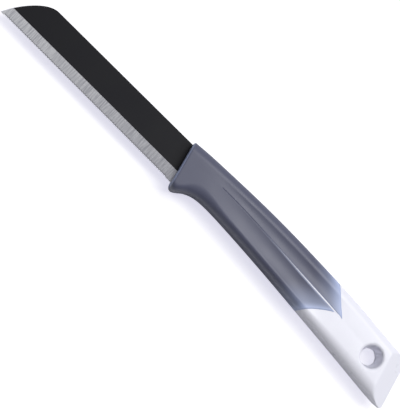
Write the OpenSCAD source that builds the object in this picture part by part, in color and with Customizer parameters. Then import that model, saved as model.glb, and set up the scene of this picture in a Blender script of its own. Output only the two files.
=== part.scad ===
// Tomato knife: a finely toothed sheepsfoot blade moulded into a two-colour handle.
// It lies on its side. X runs from point to tail, Y from cutting edge to spine, Z up.
// Lengths are in millimetres. The handle's ends are slanted lines in plan, so places
// along the handle are shares of its length, measured between those slanted lines.

/* [Blade] */
// Length of the blade in front of the handle
blade_len = 85; // [70:1:110]
// Height of the blade from edge to spine, at the point
blade_height = 14.5; // [12:0.5:18]
// Thickness of the steel
blade_thick = 1.2; // [0.8:0.1:1.8]
// How much lower the edge lies at the handle than at the point
edge_drop = 0.8; // [0:0.1:1.2]
// Height of the ground bevel above the point's corner
grind_height = 3.9; // [2.5:0.1:5]
// Thickness left at the edge beside the handle
edge_thick = 0.2; // [0.1:0.05:0.4]
// Length over which the point curves up to the spine
tip_run = 14.5; // [10:0.5:20]

/* [Teeth] */
// Distance from tooth to tooth
tooth_pitch = 0.9; // [0.7:0.05:1.8]
// Depth of a tooth
tooth_depth = 0.4; // [0.2:0.05:0.6]
// Plain edge before the first tooth, at the point
plain_tip = 1.4; // [0.5:0.1:5]
// Plain edge after the last tooth, at the handle
plain_heel = 2.6; // [1:0.1:8]

/* [Tang] */
// How deep the full height of the blade is seated in the grip
seat_depth = 2.5; // [1.5:0.1:3]
// Length of the tang behind that seat
tang_len = 56; // [40:1:66]
// Height of the tang
tang_height = 6.5; // [5:0.1:8]
// Distance of the tang's lower side above the point's corner
tang_low = 5.2; // [4.8:0.1:6]
// Diameter of the lock holes through the tang
lock_hole_d = 3.2; // [2:0.1:4]
// Number of lock holes
lock_holes = 3; // [1:1:4]
// Shrinkage gap round the plastic in a lock hole
lock_gap = 0.1; // [0.05:0.05:0.2]

/* [Handle] */
// Length of the handle between its slanted ends
handle_len = 109; // [98:1:135]
// Thickness of the handle at the palm
handle_thick = 12; // [10.5:0.5:16]
// Slant of both ends of the handle, in degrees
end_slant = 14; // [8:1:18]
// Rounding round the rim of the front end
rim_round = 0.8; // [0.4:0.1:1.2]
// Rounding of the heel's front corner in plan
heel_round = 1.5; // [0.8:0.1:2]
// Rounding of the tail's corners in plan
tail_round = 1.4; // [0.8:0.1:2.5]
// How far the handle's long edges are rounded down its sides
edge_fall = 3; // [2:0.1:4]
// Width of that rounding along the back of the handle
back_round = 3.5; // [2:0.1:4]
// Width of that rounding along the belly of the handle
belly_round = 2.3; // [1.5:0.1:3]
// Slope of the two cut faces of the tail end, in degrees from flat
tail_bevel = 37; // [30:1:55]
// Half thickness left at the very end of the tail
tail_land = 0.4; // [0.2:0.1:1]

/* [Grip hollows] */
// Depth of the hollow between the ridge and the back
upper_hollow = 0.3; // [0.1:0.05:0.6]
// Depth of the hollow between the ridge and the belly
lower_hollow = 0.4; // [0.1:0.05:0.8]
// How far the ridge lies below the long edges of the handle's face
ridge_drop = 0.15; // [0.1:0.05:0.3]
// Hollow along the palm, so that the handle rests on both of its ends
palm_dip = 0.04; // [0.02:0.01:0.1]

/* [Two-colour joint] */
// Distance of the cover's point from the tail end
cover_point = 30; // [28:0.5:36]
// How far the cover's upper edge lies in front of its point, at the back
cover_rake_back = 7.7; // [4:0.1:12]
// How far the cover's lower edge lies in front of its point, at the belly
cover_rake_belly = 16; // [8:0.5:20]
// Width of the white line along the ridge, at the cover's point
line_width = 0.5; // [0.4:0.05:0.8]
// Thickness of the cover over the core's sides
cover_side = 2.2; // [1.6:0.1:2.8]
// Thickness of the cover over the core's faces
cover_face = 1.7; // [1.3:0.1:2]
// Length of solid cover between the front end and the core
cover_nose = 4.2; // [3.5:0.1:6]

/* [Hanging hole] */
// Diameter of the hole at its narrowest
hole_d = 6.2; // [5:0.1:7]
// Diameter of the hole's mouths, inside their rounding
mouth_d = 8.2; // [7:0.1:9]
// Rounding of the mouths
mouth_round = 0.9; // [0.5:0.1:1.2]
// Height of the straight wall in the middle of the hole
hole_land = 1.6; // [1.2:0.1:3]
// Distance of the hole's centre from the tail end
hole_back = 13.6; // [12:0.1:18]

/* [Hidden] */
$fn = 64;
slant = tan(end_slant);
half_thick = handle_thick / 2;

// Outlines of the handle, as [share of its length, distance]
// Back of the handle above the blade's spine
back_rise = [[0, 0.75], [0.08, 1.3], [0.3, 1.98], [0.45, 1.9], [0.63, 1.2],
    [0.76, 0.5], [0.86, -0.5], [1, -1.9]];
// Belly of the handle from the level of the point's corner
belly_line = [[0, -2.85], [0.016, -2.8], [0.03, -2.05], [0.058, -0.1], [0.095, 1.3], [0.145, 1.75],
    [0.24, 1.35], [0.41, 0], [0.6, -1.95], [0.785, -3.95], [0.93, -5.65], [1, -6.3]];
// Ridge between the two hollows, from the same level
ridge_line = [[0, 9.5], [0.2, 9.95], [0.35, 9.25], [0.54, 7.75], [0.72, 6.45], [1, 4.2]];
// Thickness along the handle, as a share of the thickness at the palm
thick_share = [[0, 0.94], [0.12, 1], [0.6, 1], [1, 0.95]];
// Strength of each hollow along the handle
upper_fade = [[0, 0], [0.12, 0], [0.3, 0.55], [0.5, 1], [0.62, 1], [0.73, 0], [1, 0]];
lower_fade = [[0, 0], [0.12, 0], [0.3, 0.55], [0.45, 1], [0.55, 1], [0.68, 0], [1, 0]];
// Extra width of the belly rounding, in the finger curve behind the heel and on the tail
belly_swell = [[0, 0], [0.03, 0.2], [0.08, 1.6], [0.13, 1.2], [0.22, 0], [0.58, 0],
    [0.74, 1.1], [0.88, 1.6], [1, 1.8]];

// Smooth curve through a list of points
function slope_at(p, i) =
    let (a = max(i - 1, 0), b = min(i + 1, len(p) - 1)) (p[b][1] - p[a][1]) / (p[b][0] - p[a][0]);
function curve(p, s, i = 0) = i < len(p) - 2 && s > p[i + 1][0] ? curve(p, s, i + 1) :
    let (w = p[i + 1][0] - p[i][0], t = (s - p[i][0]) / w)
    (2 * t ^ 3 - 3 * t ^ 2 + 1) * p[i][1] + (t ^ 3 - 2 * t ^ 2 + t) * w * slope_at(p, i)
    + (3 * t ^ 2 - 2 * t ^ 3) * p[i + 1][1] + (t ^ 3 - t ^ 2) * w * slope_at(p, i + 1);
// How far a corner of radius r has drawn in at distance d from the end
function drawn_in(d, r) = d >= r ? 0 : r - sqrt(max(0, r ^ 2 - (r - d) ^ 2));

// The handle's form at share s of its length
function back_y(s) = blade_height + curve(back_rise, s)
    - drawn_in(s * handle_len, rim_round) - drawn_in((1 - s) * handle_len, tail_round);
function belly_y(s) = curve(belly_line, s)
    + drawn_in(s * handle_len, heel_round) + drawn_in((1 - s) * handle_len, tail_round);
function ridge_y(s) = curve(ridge_line, s) + (blade_height - 14.5) / 2;
function face_z(s) = half_thick * min(1, curve(thick_share, s)) - drawn_in(s * handle_len, rim_round)
    - palm_dip * max(0, 1 - ((s - 0.36) / 0.24) ^ 2);
function along(s) = blade_len + s * handle_len;
function plan(s, y) = [along(s) - y * slant, y];
function share_at(from_end) = 1 - from_end / handle_len;

// One cross-section of the handle, as a ring of [y, z] points
arc_steps = 4;
hollow_steps = 4;
function hollow(y0, y1, z0, z1, depth) = [for (k = [1 : hollow_steps]) let (t = k / hollow_steps)
    [y0 + (y1 - y0) * t, z0 + (z1 - z0) * t - 4 * depth * t * (1 - t)]];
function upper_half(s) = let (
        z = face_z(s), lo = belly_y(s), hi = back_y(s), mid = ridge_y(s),
        top = z - ridge_drop * curve(lower_fade, s),
        lo_in = lo + belly_round + curve(belly_swell, s), hi_in = hi - back_round
    ) concat(
        [for (k = [0 : arc_steps]) let (a = 90 * k / arc_steps)
            [lo + (lo_in - lo) * (1 - cos(a)), z - edge_fall * (1 - sin(a))]],
        hollow(lo_in, mid, z, top, lower_hollow * curve(lower_fade, s)),
        hollow(mid, hi_in, top, z, upper_hollow * curve(upper_fade, s)),
        [for (k = [1 : arc_steps]) let (a = 90 - 90 * k / arc_steps)
            [hi + (hi_in - hi) * (1 - cos(a)), z - edge_fall * (1 - sin(a))]]);
function ring(s) = let (top = upper_half(s))
    concat(top, [for (i = [len(top) - 1 : -1 : 0]) [top[i][0], -top[i][1]]]);

// Stations along the handle, closer together in the rounding of the front, the heel and the tail
stations = concat(
    [for (d = [0, 0.12, 0.45, 1]) d * rim_round / handle_len],
    [for (k = [1 : 9]) 0.008 + 0.0125 * k],
    [for (k = [1 : 19]) 0.1205 + 0.0451 * k],
    [for (d = [0.7, 0.25, 0]) 1 - d * tail_round / handle_len]);
rings = [for (s = stations) [for (p = ring(s)) concat(plan(s, p[0]), p[1])]];

// Box of the whole knife in plan, which sets its place in the frame
outline = concat([for (s = stations) plan(s, belly_y(s))], [for (s = stations) plan(s, back_y(s))]);
x_low = 0;
x_high = max([for (p = outline) p[0]]);
y_low = min([for (p = outline) p[1]]);
y_high = max([for (p = outline) p[1]]);

// Outline of the blade and tang
function edge_y(x) = -edge_drop * x / blade_len;
function bezier(a, b, c, d, t) =
    a * (1 - t) ^ 3 + 3 * b * t * (1 - t) ^ 2 + 3 * c * t ^ 2 * (1 - t) + d * t ^ 3;
tip_curve = let (rise = 0.34 * blade_height) [for (k = [0 : 14])
    bezier([0, 0], [rise * 0.45, rise], [0.59 * tip_run, blade_height], [tip_run, blade_height], k / 14)];
seat = blade_len + seat_depth;
tang_high = tang_low + tang_height;
tang_end = seat + tang_len;
heel_x = seat + edge_drop * slant;
teeth_from = plain_tip;
teeth = floor((blade_len - plain_heel - teeth_from) / tooth_pitch);
gullet = [0, 0.15, 0.38, 0.62, 0.85];
tooth_line = [for (k = [teeth : -1 : 1], t = gullet) let (x = teeth_from + (k - t) * tooth_pitch)
    [x, edge_y(x) + tooth_depth * 4 * t * (1 - t)]];
blank_outline = concat(tip_curve, [
    [seat - blade_height * slant, blade_height], [seat - tang_high * slant, tang_high],
    [tang_end - 1, tang_high], [tang_end, tang_high - 1], [tang_end, tang_low + 1], [tang_end - 1, tang_low],
    [seat - tang_low * slant, tang_low], [heel_x, edge_y(heel_x)]]);
lock_pitch = (tang_len - 12) / lock_holes;
lock_x = [for (k = [0 : lock_holes - 1]) seat + 9 + lock_pitch * k];

// Edge of the cover where it meets the tail, in plan
point_s = share_at(cover_point);
lower_point_s = share_at(cover_point + 3.7);
function joint_point(s0, rake, power, y0, y1, t) =
    plan(s0 - rake * (1 - (1 - t) ^ power) / handle_len, y0 + (y1 - y0) * t);
joint_steps = 8;
upper_joint = [for (k = [0 : joint_steps])
    joint_point(point_s, cover_rake_back, 1.35, ridge_y(point_s), back_y(point_s) + 2, k / joint_steps)];
lower_joint = [for (k = [joint_steps : -1 : 0])
    joint_point(lower_point_s, cover_rake_belly - 3.7, 1.43, ridge_y(lower_point_s),
        belly_y(lower_point_s) - 1, k / joint_steps)];
far = 60;

// Smooth outer form of the handle, before it is parted into two colours
module handle_skin() {
    n = len(rings[0]);
    m = len(rings);
    points = [for (r = rings, p = r) p];
    sides = [for (i = [0 : m - 2], j = [0 : n - 1]) let (k = (j + 1) % n)
        each [[i * n + j, i * n + k, (i + 1) * n + j], [i * n + k, (i + 1) * n + k, (i + 1) * n + j]]];
    front = [[for (j = [n - 1 : -1 : 0]) j]];
    back = [[for (j = [0 : n - 1]) (m - 1) * n + j]];
    polyhedron(points, concat(sides, front, back));
}

// The two cut faces of the tail, as a wedge the whole handle is held within
module tail_wedge() {
    end = along(1) * cos(end_slant);
    run = (far - tail_land) / tan(tail_bevel);
    rotate([0, 0, end_slant]) rotate([90, 0, 0]) linear_extrude(4 * far, center = true)
        polygon([[0, -far], [end - run, -far], [end + tail_land / tan(tail_bevel), 0],
            [end - run, far], [0, far]]);
}

module handle_form() intersection() { handle_skin(); tail_wedge(); }

// Everything in front of the joint between the colours
module cover_zone() {
    linear_extrude(4 * half_thick, center = true) polygon(concat(
        [[0, -far], [lower_joint[0][0], -far]], lower_joint, upper_joint,
        [[upper_joint[joint_steps][0], far], [0, far]]));
}

// Bar of the core inside the cover
module core_bar() {
    from = cover_nose / handle_len;
    shares = [for (k = [0 : 12]) from + (point_s + 0.02 - from) * k / 12];
    linear_extrude(2 * (half_thick - cover_face), center = true) polygon(concat(
        [for (s = shares) plan(s, belly_y(s) + cover_side)],
        [for (k = [12 : -1 : 0]) plan(shares[k], back_y(shares[k]) - cover_side)]));
}

// Thin web of the core that comes to the surface along the ridge
module ridge_web() {
    shares = [for (k = [0 : 8]) 0.33 + (point_s + 0.015 - 0.33) * k / 8];
    function half_width(k) = line_width / 2 * (0.6 + 0.4 * k / 8);
    intersection() {
        handle_form();
        linear_extrude(4 * half_thick, center = true) polygon(concat(
            [for (k = [0 : 8]) plan(shares[k], ridge_y(shares[k]) - half_width(k))],
            [for (k = [8 : -1 : 0]) plan(shares[k], ridge_y(shares[k]) + half_width(k))]));
    }
}

// Steel plate with its ground bevels, before teeth and lock holes
module blade_blank(edge_line) {
    tilt = (blade_thick - edge_thick) / 2 / (grind_height + edge_drop);
    difference() {
        linear_extrude(blade_thick, center = true) polygon(concat(blank_outline, edge_line));
        for (side = [0, 1]) mirror([0, 0, side]) rotate([90, 0, 90]) translate([0, 0, -1])
            linear_extrude(seat + far) polygon([[grind_height, blade_thick / 2],
                [grind_height - 12, blade_thick / 2 - 12 * tilt], [grind_height - 12, 5], [grind_height, 5]]);
    }
}

// Plastic that passes through the lock holes, or the holes themselves
module lock_pins(d) {
    for (x = lock_x) translate([x, tang_low + tang_height / 2, 0])
        cylinder(h = 2 * blade_thick, d = d, center = true);
}

// Waisted hole with rounded mouths
module hang_hole() {
    s = share_at(hole_back);
    top = face_z(s);
    rim = [for (a = [0 : 15 : 75])
        [mouth_d / 2 + mouth_round * (1 - cos(a)), top - mouth_round * (1 - sin(a))]];
    side = concat([[hole_d / 2, hole_land / 2]], rim,
        [[mouth_d / 2 + mouth_round, top + 0.05], [mouth_d / 2 + mouth_round, top + 3]]);
    translate(concat(plan(s, (belly_y(s) + back_y(s)) / 2), 0)) rotate_extrude() polygon(concat(
        [[0, -top - 3]], [for (k = [len(side) - 1 : -1 : 0]) [side[k][0], -side[k][1]]],
        side, [[0, top + 3]]));
}

// Puts the knife in its frame: middle of its box in plan, lowest point at zero
module in_frame() translate([-(x_low + x_high) / 2, -(y_low + y_high) / 2, half_thick]) children();

module blade() color("#2c2c30") in_frame() difference() {
    blade_blank(tooth_line);
    lock_pins(lock_hole_d);
}

module handle_core() color("#f2f2f7") in_frame() difference() {
    union() {
        difference() { handle_form(); cover_zone(); }
        core_bar();
        ridge_web();
    }
    difference() { blade_blank([]); lock_pins(lock_hole_d - 2 * lock_gap); }
    hang_hole();
}

module grip_cover() color("#6b6e7c") in_frame() difference() {
    intersection() { handle_form(); cover_zone(); }
    core_bar();
    ridge_web();
    blade_blank([]);
}

blade();
handle_core();
grip_cover();
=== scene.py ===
import math

import bmesh
import bpy
from mathutils import Matrix, Vector


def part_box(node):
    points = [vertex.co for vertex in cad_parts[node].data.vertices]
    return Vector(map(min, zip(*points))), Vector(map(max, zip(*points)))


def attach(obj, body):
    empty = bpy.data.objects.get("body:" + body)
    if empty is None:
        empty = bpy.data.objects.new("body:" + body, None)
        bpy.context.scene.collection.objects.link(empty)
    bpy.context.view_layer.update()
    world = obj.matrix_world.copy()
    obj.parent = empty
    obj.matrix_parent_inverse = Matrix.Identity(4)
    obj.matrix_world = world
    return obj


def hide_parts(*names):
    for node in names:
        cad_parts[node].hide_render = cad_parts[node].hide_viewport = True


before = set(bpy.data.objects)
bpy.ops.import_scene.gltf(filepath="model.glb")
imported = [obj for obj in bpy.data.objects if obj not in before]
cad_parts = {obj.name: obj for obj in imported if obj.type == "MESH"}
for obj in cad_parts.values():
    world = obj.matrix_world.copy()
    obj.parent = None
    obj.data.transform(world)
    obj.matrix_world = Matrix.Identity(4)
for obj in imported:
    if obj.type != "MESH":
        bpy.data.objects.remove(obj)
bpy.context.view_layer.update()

# The knife is drawn in millimetres from the blade's point: X to the tail, Y from edge to spine,
# Z up from the middle of the steel. place() takes that into the frame's metres.
bladeLength = 85.0
bladeHeight = 14.5
handleLength = 109.0
palmHalf = 6.0
endSlant = math.tan(math.radians(14))
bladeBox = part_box("blade")
originX = bladeBox[0][0] * 1000
originY = bladeBox[1][1] * 1000 - bladeHeight


def place(x, y, z):
    return Vector((x + originX, y + originY, z + palmHalf)) / 1000


def mix(a, b, t):
    return a + (b - a) * t


def clamp(t):
    return max(0.0, min(1.0, t))


def smoothStep(low, high, x):
    t = clamp((x - low) / (high - low))
    return t * t * (3 - 2 * t)


# Smooth curve through (share, value) points
def curveAt(points, s):
    last = len(points) - 1
    i = 0
    while i < last - 1 and s > points[i + 1][0]:
        i += 1

    def slopeAt(k):
        a, b = points[max(k - 1, 0)], points[min(k + 1, last)]
        return (b[1] - a[1]) / (b[0] - a[0])

    (x0, y0), (x1, y1) = points[i], points[i + 1]
    w = x1 - x0
    t = (s - x0) / w
    return ((2 * t**3 - 3 * t**2 + 1) * y0 + (t**3 - 2 * t**2 + t) * w * slopeAt(i)
            + (3 * t**2 - 2 * t**3) * y1 + (t**3 - t**2) * w * slopeAt(i + 1))


# How far a rounded corner stands back at a distance from its end
def drawnIn(distance, radius):
    if distance >= radius:
        return 0.0
    return radius - math.sqrt(max(0.0, radius**2 - (radius - distance) ** 2))


def softMin(a, b, softness):
    h = clamp(0.5 + (b - a) / (2 * softness))
    return mix(b, a, h) - softness * h * (1 - h)


# The lists are (share of the handle's length, value), and the rest is in millimetres and degrees
handle = {
    "backRise": [(0, 0.75), (0.08, 1.3), (0.3, 1.98), (0.45, 1.9), (0.63, 1.2), (0.76, 0.5),
                 (0.86, -0.5), (1, -1.9)],
    "belly": [(0, -2.85), (0.016, -2.8), (0.03, -2.05), (0.058, -0.1), (0.095, 1.3), (0.145, 1.75),
              (0.24, 1.35), (0.41, 0), (0.6, -1.95), (0.785, -3.95), (0.93, -5.65), (1, -6.3)],
    "ridge": [(0, 9.5), (0.2, 9.95), (0.35, 9.25), (0.54, 7.75), (0.72, 6.45), (1, 4.2)],
    "thickness": [(0, 0.94), (0.12, 1), (0.6, 1), (1, 0.95)],
    "upperDepth": [(0, 0), (0.12, 0), (0.3, 0.55), (0.5, 1), (0.62, 1), (0.73, 0), (1, 0)],
    "lowerDepth": [(0, 0), (0.12, 0), (0.3, 0.55), (0.45, 1), (0.55, 1), (0.68, 0), (1, 0)],
    "bellySwell": [(0, 0), (0.03, 0.2), (0.08, 1.6), (0.13, 1.2), (0.22, 0), (0.58, 0),
                   (0.74, 1.1), (0.88, 1.6), (1, 1.8)],
    "rimRound": 0.8,
    "heelRound": 1.5,
    "tailRound": 1.4,
    "edgeFall": 3.0,
    "backRound": 3.5,
    "bellyRound": 2.3,
    "tailBevel": 37.0,
    "tailLand": 0.4,
    "tailSoftness": 0.35,
    "wedgeFrom": 0.86,     # share of the length from which the tail's bevels are looked for
    "upperHollow": 0.3,
    "lowerHollow": 0.4,
    "ridgeDrop": 0.15,
    "wallSteps": 4,
    "arcSteps": 10,
    "hollowSteps": 14,
}

# Where the grey cover ends on the white core, in millimetres
joint = {
    "point": 30.0,         # from the tail's end, on the upper side
    "lowerPoint": 33.7,    # the same on the lower side
    "rakeBack": 7.7,       # how far the joint runs forward, out to the back
    "rakeBelly": 12.3,
    "reachBack": 2.0,      # how far past the outline the curves are drawn
    "reachBelly": 1.0,
    "powerBack": 1.35,
    "powerBelly": 1.43,
}
upperStart = 1 - joint["point"] / handleLength
lowerStart = 1 - joint["lowerPoint"] / handleLength

# White line along the ridge, in millimetres and in shares of the handle's length
ridgeLine = {
    "halfWidth": 0.26,
    "leastHalf": 0.01,
    "widens": (0.3, 0.66),
    "start": 0.31,
    "closing": 0.006,      # the last stretch, where it closes to nothing at the cover's point
    "sunk": 0.01,          # below the cover's surface
    "shoulder": 0.03,
    "crownShare": 0.4,
    "rows": 70,
    "closingRows": 6,
}


def backY(s):
    return (bladeHeight + curveAt(handle["backRise"], s)
            - drawnIn(s * handleLength, handle["rimRound"])
            - drawnIn((1 - s) * handleLength, handle["tailRound"]))


def bellyY(s):
    return (curveAt(handle["belly"], s) + drawnIn(s * handleLength, handle["heelRound"])
            + drawnIn((1 - s) * handleLength, handle["tailRound"]))


def ridgeY(s):
    return curveAt(handle["ridge"], s)


def faceZ(s):
    return (palmHalf * min(1.0, curveAt(handle["thickness"], s))
            - drawnIn(s * handleLength, handle["rimRound"]))


# Height of the two bevels that meet at the tail's end
def wedgeZ(s):
    run = (1 - s) * handleLength * math.cos(math.atan(endSlant))
    return handle["tailLand"] + run * math.tan(math.radians(handle["tailBevel"]))


def lineHalf(s):
    left = clamp((upperStart - s) / ridgeLine["closing"])
    return ridgeLine["halfWidth"] * smoothStep(*ridgeLine["widens"], s) * math.sqrt(left)


# One half of a section, from the side wall's middle up over the edge and in to the ridge
def halfColumns():
    walls = [("wall", k / handle["wallSteps"]) for k in range(handle["wallSteps"])]
    arcs = [("arc", math.pi / 2 * k / handle["arcSteps"]) for k in range(handle["arcSteps"])]
    hollows = [("hollow", k / handle["hollowSteps"]) for k in range(handle["hollowSteps"] + 1)]
    return walls + arcs + hollows


def sectionPoint(side, s, column):
    kind, t = column
    z = faceZ(s)
    if side == "back":
        outer, inner = backY(s), backY(s) - handle["backRound"]
        middle = ridgeY(s) + lineHalf(s)
        depth = handle["upperHollow"] * curveAt(handle["upperDepth"], s)
    else:
        outer = bellyY(s)
        inner = outer + handle["bellyRound"] + curveAt(handle["bellySwell"], s)
        middle = ridgeY(s) - lineHalf(s)
        depth = handle["lowerHollow"] * curveAt(handle["lowerDepth"], s)
    fall = handle["edgeFall"]
    if kind == "wall":
        y, z = outer, (z - fall) * t
    elif kind == "arc":
        y, z = outer + (inner - outer) * (1 - math.cos(t)), z - fall * (1 - math.sin(t))
    else:
        drop = handle["ridgeDrop"] * curveAt(handle["lowerDepth"], s)
        y, z = mix(inner, middle, t), z - drop * t - 4 * depth * t * (1 - t)
    if s > handle["wedgeFrom"]:
        z = softMin(z, wedgeZ(s), handle["tailSoftness"])
    return y, z


# Share of the handle's length at which a column meets the joint between the colours
def jointShare(side, column):
    if side == "back":
        start, rake, power = upperStart, joint["rakeBack"], joint["powerBack"]
        far = backY(start) + joint["reachBack"]
    else:
        start, rake, power = lowerStart, joint["rakeBelly"], joint["powerBelly"]
        far = bellyY(start) - joint["reachBelly"]
    near = ridgeY(start)
    s = start
    for _ in range(6):  # a column's own place depends on s, so it is closed in on
        y = sectionPoint(side, s, column)[0] - sectionPoint(side, s, ("hollow", 1.0))[0]
        t = clamp(y / (far - near))
        s = start - rake / handleLength * (1 - (1 - t) ** power)
    return s


def surfacePoint(side, s, column, top):
    y, z = sectionPoint(side, s, column)
    x = bladeLength + s * handleLength - y * endSlant
    return place(x, y, z if top else -z)


samePlace = 2e-6   # points closer than this are one point, in metres
creaseAngle = 35   # edges sharper than this, in degrees, stay sharp


# Collects grids of points, and joins them where they meet
class Shell:
    def __init__(self, name):
        self.name = name
        self.bm = bmesh.new()
        self.values = []

    def point(self, co, value=0.0):
        vertex = self.bm.verts.new(co)
        self.values.append(value)
        return vertex

    def face(self, corners, smooth=True, slot=0):
        unique = []
        for corner in corners:
            if corner not in unique:
                unique.append(corner)
        if len(unique) > 2:
            made = self.bm.faces.new(unique)
            made.smooth = smooth
            made.material_index = slot

    def grid(self, rows, smooth=True, slot=0):
        for a, b in zip(rows, rows[1:]):
            for i in range(len(a) - 1):
                self.face((a[i], a[i + 1], b[i + 1], b[i]), smooth, slot)

    def finish(self, sharpAngle=creaseAngle, attribute=None):
        layer = self.bm.verts.layers.float.new(attribute) if attribute else None
        if layer:
            for vertex, value in zip(self.bm.verts, self.values):
                vertex[layer] = value
        bmesh.ops.remove_doubles(self.bm, verts=self.bm.verts, dist=samePlace)
        bmesh.ops.dissolve_degenerate(self.bm, dist=1e-7, edges=self.bm.edges)
        bmesh.ops.recalc_face_normals(self.bm, faces=self.bm.faces)
        mesh = bpy.data.meshes.new(self.name)
        self.bm.to_mesh(mesh)
        self.bm.free()
        mesh.set_sharp_from_angle(angle=math.radians(sharpAngle))
        piece = bpy.data.objects.new(self.name, mesh)
        bpy.context.scene.collection.objects.link(piece)
        return piece


def applyModifiers(piece):
    depsgraph = bpy.context.evaluated_depsgraph_get()
    mesh = bpy.data.meshes.new_from_object(piece.evaluated_get(depsgraph))
    piece.modifiers.clear()
    piece.data = mesh


# Grey cover: its skin runs from the front end to the joint, then is given its thickness
print("cover")
gripCover = {
    "skin": 1.3,
    "rimRows": (0, 0.04, 0.13, 0.3, 0.55, 0.8, 1),   # shares of the front rim's rounding
    "frontRows": 37,
    "frontStart": 0.0073,
    "frontStep": 0.0039,
    "rows": 64,
    "upperFade": 8.0,           # millimetres over which the skin thins out before the joint
    "lowerFade": 4.0,
    "fadeDepth": 0.55,
    "fadePower": 1.3,
    "haze": 15.0,               # millimetres over which the core first shows through
    "hazeDepth": 0.34,
    # painted highlight: the cover's colour is lightened along its front rim's rounding
    "rimPaintedHighlight": 0.5,
    "rimHighlightSpan": (0.25, 0.6),     # millimetres from the front end
    # lighter next to the ridge: partly the grey thin over the core's web, partly a painted highlight
    # on the crease
    "ridgeThinAndHighlight": 0.5,
    "ridgeAlong": (0.3, 0.62),
    "ridgeAcross": (0.92, 1.0),
}


# How far the white shows through the grey, from 0 to 1, with painted highlights on the front rim and
# beside the ridge added in
def coverShowThroughAndHighlight(side, s, end, column):
    fade = gripCover["upperFade" if side == "back" else "lowerFade"] / handleLength
    haze = gripCover["haze"] / handleLength
    nearJoint = smoothStep(end - fade, end + fade * 0.1, s)
    showThroughAndHighlight = gripCover["fadeDepth"] * nearJoint ** gripCover["fadePower"]
    showThroughAndHighlight += gripCover["hazeDepth"] * smoothStep(end - haze, end, s)
    # painted highlight on the front rim's rounding
    showThroughAndHighlight += gripCover["rimPaintedHighlight"] * (1 - smoothStep(*gripCover["rimHighlightSpan"], s * handleLength))
    # next to the ridge the grey is lightened, partly by the thin skin over the core's web and partly
    # by a painted highlight on the crease. The factor named worn below is that mix, not wear.
    if column[0] == "hollow":
        worn = smoothStep(*gripCover["ridgeAlong"], s)
        worn *= smoothStep(*gripCover["ridgeAcross"], column[1])
        showThroughAndHighlight = max(showThroughAndHighlight, gripCover["ridgeThinAndHighlight"] * worn)
    return showThroughAndHighlight


columns = halfColumns()
frontShares = [d * handle["rimRound"] / handleLength for d in gripCover["rimRows"]]
frontShares += [gripCover["frontStart"] + gripCover["frontStep"] * k
                for k in range(1, gripCover["frontRows"] + 1)]
cover = Shell("coverMoulding")
frontLoop = []
for side in ("belly", "back"):
    for top in (True, False):
        strips = []
        for column in columns:
            end = jointShare(side, column)
            shares = frontShares + [mix(frontShares[-1], end, k / gripCover["rows"])
                                    for k in range(1, gripCover["rows"] + 1)]
            strips.append([cover.point(surfacePoint(side, s, column, top),
                                       coverShowThroughAndHighlight(side, s, end, column)) for s in shares])
        cover.grid(strips)
        frontLoop.append([strip[0] for strip in strips])
loop = frontLoop[0] + frontLoop[2][::-1] + frontLoop[3] + frontLoop[1][::-1]
# the four quarter loops share their end points, so each of those is used once
cleanLoop = []
for vertex in loop:
    if not cleanLoop or (vertex.co - cleanLoop[-1].co).length > samePlace:
        cleanLoop.append(vertex)
if (cleanLoop[0].co - cleanLoop[-1].co).length < samePlace:
    cleanLoop.pop()
cover.face(cleanLoop, smooth=False)
coverPiece = cover.finish(attribute="showThroughAndHighlight")
solid = coverPiece.modifiers.new("thickness", "SOLIDIFY")
solid.thickness = gripCover["skin"] / 1000
solid.offset = -1
solid.use_even_offset = False
applyModifiers(coverPiece)

# White core: the tail with its two cut faces, closed by a wall along the joint
print("core")
tail = {
    "rows": 60,
    "stepRows": 5,         # between the lower point of the joint and the upper one
    "closerFrom": 0.6,     # the rows lie closer from here to the cut end
    "closerPower": 1.5,
}


def closer(t):
    start = tail["closerFrom"]
    if t < start:
        return t
    return start + (1 - start) * (1 - (1 - (t - start) / (1 - start)) ** tail["closerPower"])


core = Shell("coreMoulding")
quarters = {}
for side in ("belly", "back"):
    for top in (True, False):
        strips = []
        for column in columns:
            start = jointShare(side, column)
            shares = []
            if side == "belly":
                step = upperStart - lowerStart
                shares = [start + step * k / tail["stepRows"] for k in range(tail["stepRows"])]
                start += step
            shares += [mix(start, 1.0, closer(k / tail["rows"])) for k in range(tail["rows"] + 1)]
            strips.append([core.point(surfacePoint(side, s, column, top)) for s in shares])
        core.grid(strips)
        quarters[side, top] = strips
for side in ("belly", "back"):
    for pick in (0, -1):
        core.grid([[strip[pick] for strip in quarters[side, True]],
                   [strip[pick] for strip in quarters[side, False]]], smooth=False)
stepEnd = tail["stepRows"] + 1
core.grid([quarters["belly", True][-1][:stepEnd],
           quarters["belly", False][-1][:stepEnd]], smooth=False)
corePiece = core.finish()

# Hanging hole, cut as one turned form with rounded mouths, in millimetres
hole = {
    "back": 13.6,
    "waistRadius": 3.1,
    "waistLand": 1.6,
    "easeOut": 0.06,       # from the land to the flare
    "easeUp": 0.12,
    "mouthRadius": 4.1,
    "mouthRound": 0.9,
    "roundAngles": (9, 18, 27, 36, 45, 54, 63, 72, 81),
    "above": (0.05, 3.0),
    "segments": 96,
}


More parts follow.
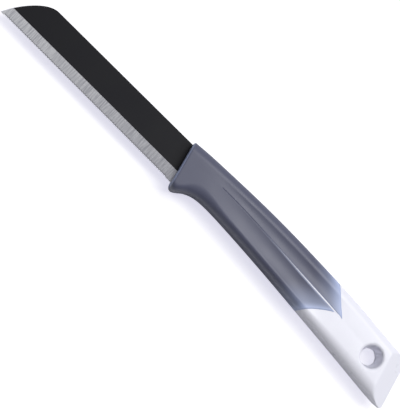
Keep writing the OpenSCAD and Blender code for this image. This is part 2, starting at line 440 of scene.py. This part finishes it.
def holeCutter():
    s = 1 - hole["back"] / handleLength
    top = faceZ(s)
    y = (backY(s) + bellyY(s)) / 2
    x = bladeLength + s * handleLength - y * endSlant
    mouth, rim = hole["mouthRadius"], hole["mouthRound"]
    waist, land = hole["waistRadius"], hole["waistLand"] / 2
    flare, flareFoot = waist + hole["easeOut"], land + hole["easeUp"]
    half = [(waist, land), (flare, flareFoot)]
    half += [(mix(flare, mouth, t), mix(flareFoot, top - rim, t)) for t in (0.5, 1)]
    half += [(mouth + rim * (1 - math.cos(a)), top - rim * (1 - math.sin(a)))
             for a in [math.radians(d) for d in hole["roundAngles"]]]
    half += [(mouth + rim, top + above) for above in hole["above"]]
    profile = [(r, -z) for r, z in reversed(half)] + half
    turns = [2 * math.pi * k / hole["segments"] for k in range(hole["segments"])]
    cutter = Shell("holeCutter")
    rings = []
    for r, z in profile:
        ring = [cutter.point(place(x + r * math.cos(a), y + r * math.sin(a), z)) for a in turns]
        rings.append(ring + [ring[0]])
    cutter.grid(rings)
    cutter.face(rings[0][:-1], smooth=False)
    cutter.face(rings[-1][:-1], smooth=False)
    return cutter.finish()


cutterPiece = holeCutter()
cut = corePiece.modifiers.new("hole", "BOOLEAN")
cut.object = cutterPiece
cut.operation = "DIFFERENCE"
cut.solver = "MANIFOLD"
applyModifiers(corePiece)
bpy.data.objects.remove(cutterPiece)
# the cut leaves an empty slot behind, and its faces take the core's own material
corePiece.data.materials.clear()
for polygon in corePiece.data.polygons:
    polygon.material_index = 0
corePiece.data.set_sharp_from_angle(angle=math.radians(creaseAngle))

# White line along the ridge: the edge of a web of the core, which shows between the two hollows
print("ridge line")
lineEnd = upperStart - ridgeLine["closing"]
lineShares = [mix(ridgeLine["start"], lineEnd, k / ridgeLine["rows"])
              for k in range(ridgeLine["rows"] + 1)]
lineShares += [upperStart - ridgeLine["closing"] * (1 - k / ridgeLine["closingRows"])
               for k in range(1, ridgeLine["closingRows"] + 1)]
web = Shell("ridgeLine")
webRows = []
for s in lineShares:
    y, half = ridgeY(s), max(lineHalf(s), ridgeLine["leastHalf"])
    x = bladeLength + s * handleLength
    rise = sectionPoint("belly", s, ("hollow", 1.0))[1] - ridgeLine["sunk"]
    shoulder, crown = rise - ridgeLine["shoulder"], half * ridgeLine["crownShare"]
    over = [(-half, shoulder), (-crown, rise), (crown, rise), (half, shoulder)]
    under = [(dy, -z) for dy, z in reversed(over)]
    ring = [web.point(place(x - (y + dy) * endSlant, y + dy, z))
            for dy, z in over + [(half, 0)] + under + [(-half, 0)]]
    webRows.append(ring + [ring[0]])
web.grid(webRows)
web.face(webRows[0][:-1])
web.face(webRows[-1][:-1])
webPiece = web.finish()

# Blade: at each station along it, a row of points from the toothed edge up to the spine
print("blade")
blade = {
    "halfThick": 0.6,
    "spineHalf": 0.52,
    "spineEase": 0.1,
    "edgeHalf": 0.06,
    "edgeLeast": 0.5,      # share of edgeHalf that is left at the very edge
    "edgeSlope": 0.75,
    "edgeDrop": 0.8,
    "grindAtPoint": 4.0,
    "grindAtHeel": 3.7,
    "toothPitch": 0.9,
    "toothDepth": 0.4,
    "toothPhases": (0, 0.1, 0.26, 0.5, 0.74, 0.9),
    "toothShade": 0.26,    # height over which a gap between teeth gets painted shade
    "plainPoint": 1.4,
    "plainHeel": 2.6,
    "tipRun": 14.5,
    "tipRise": 0.34,       # how the point's curve leaves the edge and meets the spine
    "tipLean": 0.45,
    "tipReach": 0.59,
    "seat": 2.4,           # how far the steel is drawn into the handle
    "pointStations": (0.0, 0.05, 0.15, 0.3, 0.5, 0.8, 1.1),
    "edgeLifts": (0, 0.06, 0.14, 0.26, 0.45, 0.75),
    "bevelRows": 6,
    "coatRows": 8,
}


def edgeY(x):
    return -blade["edgeDrop"] * x / bladeLength


def grindY(x):
    return mix(blade["grindAtPoint"], blade["grindAtHeel"], x / bladeLength)


def tipCurve(t):
    rise = blade["tipRise"] * bladeHeight
    knots = [(0, 0), (rise * blade["tipLean"], rise),
             (blade["tipReach"] * blade["tipRun"], bladeHeight), (blade["tipRun"], bladeHeight)]
    weights = ((1 - t) ** 3, 3 * t * (1 - t) ** 2, 3 * t * t * (1 - t), t**3)
    return tuple(sum(w * k[i] for w, k in zip(weights, knots)) for i in (0, 1))


def topY(x):
    if x >= blade["tipRun"]:
        return bladeHeight
    low, high = 0.0, 1.0
    for _ in range(30):
        middle = (low + high) / 2
        if tipCurve(middle)[0] < x:
            low = middle
        else:
            high = middle
    return tipCurve(high)[1]


toothedRun = bladeLength - blade["plainHeel"] - blade["plainPoint"]
toothCount = math.floor(toothedRun / blade["toothPitch"])
lastTooth = blade["plainPoint"] + toothCount * blade["toothPitch"]


# Depth of the gap between two teeth
def notch(x):
    t = (x - blade["plainPoint"]) / blade["toothPitch"]
    if t <= 0 or t >= toothCount:
        return 0.0
    t %= 1
    return blade["toothDepth"] * 4 * t * (1 - t)


def steelHalf(x, y):
    grind, low = grindY(x), edgeY(x)
    plane = mix(blade["edgeHalf"], blade["halfThick"], clamp((y - low) / (grind - low)))
    above = max(0.0, y - low - notch(x))
    return min(plane, blade["edgeHalf"] * blade["edgeLeast"] + blade["edgeSlope"] * above)


stations = list(blade["pointStations"])
for tooth in range(toothCount):
    stations += [blade["plainPoint"] + (tooth + t) * blade["toothPitch"]
                 for t in blade["toothPhases"]]
# the plain heel, and on into the handle
stations += [lastTooth, lastTooth + 0.7, bladeLength - 1, bladeLength + 0.5,
             bladeLength + blade["seat"]]

steel = Shell("bladeSteel")
bevelEnd = len(blade["edgeLifts"]) + blade["bevelRows"]
faces = {}
for top in (1, -1):
    rows = []
    for x in stations:
        high = topY(x)
        low = min(edgeY(x) + notch(x), high)
        grind = min(grindY(x), high)
        ease = max(grind, high - blade["spineEase"])
        ys = [min(low + lift, grind) for lift in blade["edgeLifts"]]
        ys += [mix(ys[-1], grind, k / blade["bevelRows"]) for k in range(1, blade["bevelRows"] + 1)]
        ys += [mix(grind, ease, k / blade["coatRows"]) for k in range(1, blade["coatRows"] + 1)]
        # painted shade in the gaps between the teeth, stored in the notch attribute
        gapShadeAmount = notch(x) / blade["toothDepth"]
        row = [steel.point(place(x, y, top * steelHalf(x, y)),
                           gapShadeAmount * clamp(1.3 - (y - low) / blade["toothShade"])) for y in ys]
        spineHalf = min(steelHalf(x, high), blade["spineHalf"])
        row.append(steel.point(place(x, high, top * spineHalf)))
        rows.append(row)
    steel.grid([row[:bevelEnd] for row in rows], slot=1)
    steel.grid([row[bevelEnd - 1:] for row in rows], slot=0)
    faces[top] = rows
for pick, slot in ((0, 1), (-1, 0)):
    steel.grid([[row[pick] for row in faces[1]], [row[pick] for row in faces[-1]]],
               smooth=False, slot=slot)
steel.grid([faces[1][-1], faces[-1][-1]], smooth=False)
# the notch attribute carries the painted shade of the tooth gaps
bladePiece = steel.finish(sharpAngle=4, attribute="notch")

# Shared effects
print("materials")


def newGroup(name, inputs, outputs):
    group = bpy.data.node_groups.new(name, "ShaderNodeTree")
    for label, value in inputs:
        socket = group.interface.new_socket(label, in_out="INPUT", socket_type="NodeSocketFloat")
        socket.default_value = value
    for label in outputs:
        group.interface.new_socket(label, in_out="OUTPUT", socket_type="NodeSocketFloat")
    return group, group.nodes.new("NodeGroupInput"), group.nodes.new("NodeGroupOutput")


def addNoise(nodes, links, vector, scale, detail, roughness=0.5):
    noise = nodes.new("ShaderNodeTexNoise")
    noise.inputs["Detail"].default_value = detail
    noise.inputs["Roughness"].default_value = roughness
    links.new(vector, noise.inputs["Vector"])
    links.new(scale, noise.inputs["Scale"])
    return noise.outputs["Fac"]


# Fine even texture of a moulded or coated surface, with slow changes across it
def surfaceGrain():
    group, given, result = newGroup(
        "surfaceGrain", [("Grain Scale", 3000.0), ("Cloud Scale", 60.0)], ["Height", "Cloud"])
    nodes, links = group.nodes, group.links
    where = nodes.new("ShaderNodeTexCoord").outputs["Object"]
    grain = addNoise(nodes, links, where, given.outputs["Grain Scale"], 3)
    cloud = addNoise(nodes, links, where, given.outputs["Cloud Scale"], 4, 0.6)
    links.new(grain, result.inputs["Height"])
    links.new(cloud, result.inputs["Cloud"])
    return group


# Parallel scratches left by a grinding wheel, across the edge
def grindLines():
    group, given, result = newGroup(
        "grindLines", [("Line Scale", 2600.0), ("Streak Scale", 1900.0)], ["Height", "Streak"])
    nodes, links = group.nodes, group.links
    stretch = nodes.new("ShaderNodeVectorMath")
    stretch.operation = "MULTIPLY"
    stretch.inputs[1].default_value = (1.0, 0.1, 0.1)
    links.new(nodes.new("ShaderNodeTexCoord").outputs["Object"], stretch.inputs[0])
    where = stretch.outputs["Vector"]
    fine = addNoise(nodes, links, where, given.outputs["Line Scale"], 4, 0.7)
    broad = addNoise(nodes, links, where, given.outputs["Streak Scale"], 5)
    links.new(fine, result.inputs["Height"])
    links.new(broad, result.inputs["Streak"])
    return group


grainGroup = surfaceGrain()
grindGroup = grindLines()


def newMaterial(name):
    material = bpy.data.materials.new(name)
    material.use_nodes = True
    return material, material.node_tree.nodes, material.node_tree.links


def addGroup(nodes, group, values):
    node = nodes.new("ShaderNodeGroup")
    node.node_tree = group
    for label, value in values.items():
        node.inputs[label].default_value = value
    return node


def addBump(nodes, links, shader, height, strength, distance):
    bump = nodes.new("ShaderNodeBump")
    bump.inputs["Strength"].default_value = strength
    bump.inputs["Distance"].default_value = distance
    links.new(height, bump.inputs["Height"])
    links.new(bump.outputs["Normal"], shader.inputs["Normal"])


# Noise lies mostly between 0.3 and 0.7, so that is what is spread over the wanted range
def rangeOf(nodes, links, value, low, high, fromLow=0.3, fromHigh=0.7):
    remap = nodes.new("ShaderNodeMapRange")
    remap.inputs["From Min"].default_value = fromLow
    remap.inputs["From Max"].default_value = fromHigh
    remap.inputs["To Min"].default_value = low
    remap.inputs["To Max"].default_value = high
    links.new(value, remap.inputs["Value"])
    return remap.outputs["Result"]


# Runs from low to high between two distances from the blade's point
def rangeAlong(nodes, links, low, high, start, end):
    where = nodes.new("ShaderNodeTexCoord")
    split = nodes.new("ShaderNodeSeparateXYZ")
    links.new(where.outputs["Object"], split.inputs["Vector"])
    return rangeOf(nodes, links, split.outputs["X"], low, high,
                   place(start, 0, 0).x, place(end, 0, 0).x)


def mixColours(nodes, links, factor, first, second, method="MIX"):
    blend = nodes.new("ShaderNodeMix")
    blend.data_type = "RGBA"
    blend.blend_type = method
    links.new(factor, blend.inputs["Factor"])
    for socket, colour in ((6, first), (7, second)):  # the node's two colour sockets
        if isinstance(colour, tuple):
            blend.inputs[socket].default_value = (*colour, 1)
        else:
            links.new(colour, blend.inputs[socket])
    return blend.outputs[2]


coverLook = {
    "colour": (0.098, 0.104, 0.158),
    "worn": (0.108, 0.114, 0.17),
    # where the core shows through the grey, and also the painted highlights on the rim and beside
    # the ridge
    "showThroughAndHighlight": (0.55, 0.64, 0.92),
    "grain": {"Grain Scale": 2600.0, "Cloud Scale": 90.0},
    "roughness": (0.36, 0.44),
    "ior": 1.5,
    "bump": (0.12, 0.00004),   # strength, and depth in metres
}
coreLook = {
    "colour": (0.92, 0.92, 0.995),
    "worn": (0.905, 0.905, 0.985),
    "grain": {"Grain Scale": 1800.0, "Cloud Scale": 70.0},
    "roughness": (0.26, 0.34),
    "ior": 1.5,
    "bump": (0.05, 0.00004),
}
coatLook = {
    "colour": (0.0035, 0.0035, 0.0055),
    "worn": (0.006, 0.006, 0.0095),
    "grain": {"Grain Scale": 5200.0, "Cloud Scale": 55.0},
    "roughness": (0.46, 0.56),
    "ior": 1.3,
    "bump": (0.25, 0.00003),
}
lineLook = {
    # grey to white along the line: the grey skin over the web thinning out, and a painted highlight
    # that grows as the crease sharpens towards the tail
    "whitens": (118, 152),     # millimetres from the blade's point
    "leastWhite": 0.12,
    "roughness": (0.28, 0.36),
}
steelLook = {
    "bright": (1.0, 1.0, 1.0),
    "dull": (0.5, 0.5, 0.53),
    # painted reflection: the bevel is darkened towards the heel
    "paintedHeelDim": (0.55, 0.55, 0.57),
    "gap": (0.02, 0.02, 0.024),
    "lines": {"Line Scale": 2600.0, "Streak Scale": 1900.0},
    "roughness": (0.38, 0.26),
    "bump": (0.5, 0.00006),
}


# A moulded or coated surface, and its colour before anything is laid over that
def grainedMaterial(name, look):
    material, nodes, links = newMaterial(name)
    shader = nodes["Principled BSDF"]
    grain = addGroup(nodes, grainGroup, look["grain"])
    cloud = grain.outputs["Cloud"]
    base = mixColours(nodes, links, rangeOf(nodes, links, cloud, 0, 1), look["colour"], look["worn"])
    links.new(base, shader.inputs["Base Color"])
    links.new(rangeOf(nodes, links, cloud, *look["roughness"]), shader.inputs["Roughness"])
    shader.inputs["IOR"].default_value = look["ior"]
    addBump(nodes, links, shader, grain.outputs["Height"], *look["bump"])
    return material, base


def coverMaterial():
    material, grey = grainedMaterial("greyGripPlastic", coverLook)
    nodes, links = material.node_tree.nodes, material.node_tree.links
    # the core showing through and the painted highlights on the rim and ridge lighten the grey
    showThroughAndHighlight = nodes.new("ShaderNodeAttribute")
    showThroughAndHighlight.attribute_name = "showThroughAndHighlight"
    base = mixColours(nodes, links, showThroughAndHighlight.outputs["Fac"], grey, coverLook["showThroughAndHighlight"])
    links.new(base, nodes["Principled BSDF"].inputs["Base Color"])
    return material


def lineMaterial():
    material, nodes, links = newMaterial("ridgeLinePlastic")
    shader = nodes["Principled BSDF"]
    # partly the skin over the web thinning out, partly a painted highlight along the crease
    along = rangeAlong(nodes, links, lineLook["leastWhite"], 1, *lineLook["whitens"])
    base = mixColours(nodes, links, along, coverLook["worn"], coreLook["colour"])
    links.new(base, shader.inputs["Base Color"])
    cloud = addGroup(nodes, grainGroup, coreLook["grain"]).outputs["Cloud"]
    links.new(rangeOf(nodes, links, cloud, *lineLook["roughness"]), shader.inputs["Roughness"])
    return material


def steelMaterial():
    material, nodes, links = newMaterial("groundSteel")
    shader = nodes["Principled BSDF"]
    lines = addGroup(nodes, grindGroup, steelLook["lines"])
    streak = lines.outputs["Streak"]
    ground = mixColours(nodes, links, rangeOf(nodes, links, streak, 0, 1),
                        steelLook["dull"], steelLook["bright"])
    # painted reflection: the ground bevel dims from the point to the heel
    toHeel = rangeAlong(nodes, links, 0, 1, 0, bladeLength)
    ground = mixColours(nodes, links, toHeel, ground, steelLook["paintedHeelDim"], "MULTIPLY")
    # painted shade darkens the gaps between the teeth
    gap = nodes.new("ShaderNodeAttribute")
    gap.attribute_name = "notch"
    base = mixColours(nodes, links, gap.outputs["Fac"], ground, steelLook["gap"])
    links.new(base, shader.inputs["Base Color"])
    links.new(rangeOf(nodes, links, streak, *steelLook["roughness"]), shader.inputs["Roughness"])
    shader.inputs["Metallic"].default_value = 1
    addBump(nodes, links, shader, lines.outputs["Height"], *steelLook["bump"])
    return material


coverPiece.data.materials.append(coverMaterial())
corePiece.data.materials.append(grainedMaterial("whiteHandlePlastic", coreLook)[0])
webPiece.data.materials.append(lineMaterial())
bladePiece.data.materials.append(grainedMaterial("blackNonStickCoat", coatLook)[0])
bladePiece.data.materials.append(steelMaterial())

for piece, node, slot in ((coverPiece, "grip_cover", "grey_plastic"),
                          (corePiece, "handle_core", "white_plastic"),
                          (webPiece, "handle_core", "white_plastic"),
                          (bladePiece, "blade", "coated_steel")):
    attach(piece, "root")
    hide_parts(node)

# Floor, light and camera
print("studio")
studio = {
    "floorHalf": 4.0,
    "floorRoughness": 0.95,
    "floorColour": (0.85, 0.85, 0.87),   # as the knife meets it
    "seenColour": (0.66, 0.66, 0.54),    # as the camera meets it, with the glow added
    "seenGlow": (0.62, 0.615, 0.73),
    "skyColour": (0.94, 0.95, 1.0),
    "skyBright": 0.5,
    "skyDark": 0.08,
    "skyLean": 0.75,                     # towards the spine's side
    "skyFrom": 0.15,
    "skyTo": 0.75,
    "keyPlace": (0.2, 0.42, 1.0),
    "keySize": 0.6,
    "keyPower": 5.0,
    "sidePlace": (0.62, 0.36, 0.8),
    "sideSize": 0.25,
    "sidePower": 1.8,
}


# 1 where the camera looks, straight or through something clear, and 0 elsewhere
def cameraFactor(nodes, links):
    path = nodes.new("ShaderNodeLightPath")
    either = nodes.new("ShaderNodeMath")
    either.operation = "MAXIMUM"
    links.new(path.outputs["Is Camera Ray"], either.inputs[0])
    links.new(path.outputs["Is Transmission Ray"], either.inputs[1])
    return either.outputs["Value"]


def addChoice(nodes, links, elsewhere, seen):
    choice = nodes.new("ShaderNodeMixShader")
    links.new(cameraFactor(nodes, links), choice.inputs["Fac"])
    links.new(elsewhere, choice.inputs[1])
    links.new(seen, choice.inputs[2])
    return choice.outputs["Shader"]


def floorMaterial():
    material, nodes, links = newMaterial("paleFloor")
    lit = nodes["Principled BSDF"]
    lit.inputs["Base Color"].default_value = (*studio["floorColour"], 1)
    lit.inputs["Roughness"].default_value = studio["floorRoughness"]
    lit.inputs["Specular IOR Level"].default_value = 0
    seen = nodes.new("ShaderNodeBsdfDiffuse")
    seen.inputs["Color"].default_value = (*studio["seenColour"], 1)
    glow = nodes.new("ShaderNodeEmission")
    glow.inputs["Color"].default_value = (*studio["seenGlow"], 1)
    both = nodes.new("ShaderNodeAddShader")
    links.new(seen.outputs["BSDF"], both.inputs[0])
    links.new(glow.outputs["Emission"], both.inputs[1])
    links.new(addChoice(nodes, links, lit.outputs["BSDF"], both.outputs["Shader"]),
              nodes["Material Output"].inputs["Surface"])
    return material


half = studio["floorHalf"]
floorMesh = bpy.data.meshes.new("floor")
floorMesh.from_pydata([(-half, -half, 0), (half, -half, 0), (half, half, 0), (-half, half, 0)],
                      [], [(0, 1, 2, 3)])
floorMesh.materials.append(floorMaterial())
floor = bpy.data.objects.new("floor", floorMesh)
bpy.context.scene.collection.objects.link(floor)


# Bright overhead and behind the spine, dark low down on the edge's side
def studioSky():
    world = bpy.data.worlds.new("studioSky")
    world.use_nodes = True
    nodes, links = world.node_tree.nodes, world.node_tree.links
    nodes.clear()
    where = nodes.new("ShaderNodeTexCoord")
    split = nodes.new("ShaderNodeSeparateXYZ")
    links.new(where.outputs["Generated"], split.inputs["Vector"])
    lean = nodes.new("ShaderNodeMath")
    lean.operation = "MULTIPLY_ADD"
    lean.inputs[1].default_value = studio["skyLean"]
    links.new(split.outputs["Y"], lean.inputs[0])
    links.new(split.outputs["Z"], lean.inputs[2])
    level = rangeOf(nodes, links, lean.outputs["Value"], studio["skyDark"], studio["skyBright"],
                    studio["skyFrom"], studio["skyTo"])
    tinted = nodes.new("ShaderNodeBackground")
    tinted.inputs["Color"].default_value = (*studio["skyColour"], 1)
    links.new(level, tinted.inputs["Strength"])
    plain = nodes.new("ShaderNodeBackground")
    plain.inputs["Color"].default_value = (1, 1, 1, 1)
    plain.inputs["Strength"].default_value = 1
    output = nodes.new("ShaderNodeOutputWorld")
    links.new(addChoice(nodes, links, tinted.outputs["Background"], plain.outputs["Background"]),
              output.inputs["Surface"])
    return world


bpy.context.scene.world = studioSky()

for label in ("key", "side"):
    lampData = bpy.data.lights.new(label + "Light", "AREA")
    lampData.shape = "DISK"
    lampData.size = studio[label + "Size"]
    lampData.energy = studio[label + "Power"]
    lamp = bpy.data.objects.new(label + "Light", lampData)
    lamp.location = studio[label + "Place"]
    lamp.rotation_euler = Vector(studio[label + "Place"]).to_track_quat("Z", "Y").to_euler()
    bpy.context.scene.collection.objects.link(lamp)

# Camera, from the foreshortening of the hanging hole and the belly's visible side
view = {
    "place": (80.85, -90.68, 491.27),   # millimetres from the blade's point
    "right": (0.7109, 0.6865, 0.153),
    "back": (-0.035, -0.1828, 0.9825),
    "focalPixels": 1403.5,
    "pixelsHigh": 411,
    "sensorHeight": 36,
}
cameraData = bpy.data.cameras.new("camera")
cameraData.sensor_fit = "VERTICAL"
cameraData.sensor_height = view["sensorHeight"]
cameraData.lens = view["focalPixels"] / view["pixelsHigh"] * view["sensorHeight"]
camera = bpy.data.objects.new("camera", cameraData)
back = Vector(view["back"]).normalized()
right = Vector(view["right"])
right = (right - back * right.dot(back)).normalized()
turn = Matrix((right, back.cross(right), back)).transposed().to_4x4()
camera.matrix_world = Matrix.Translation(place(*view["place"])) @ turn
bpy.context.scene.collection.objects.link(camera)
bpy.context.scene.camera = camera
bpy.context.scene.view_settings.view_transform = "Standard"

bpy.context.view_layer.update()
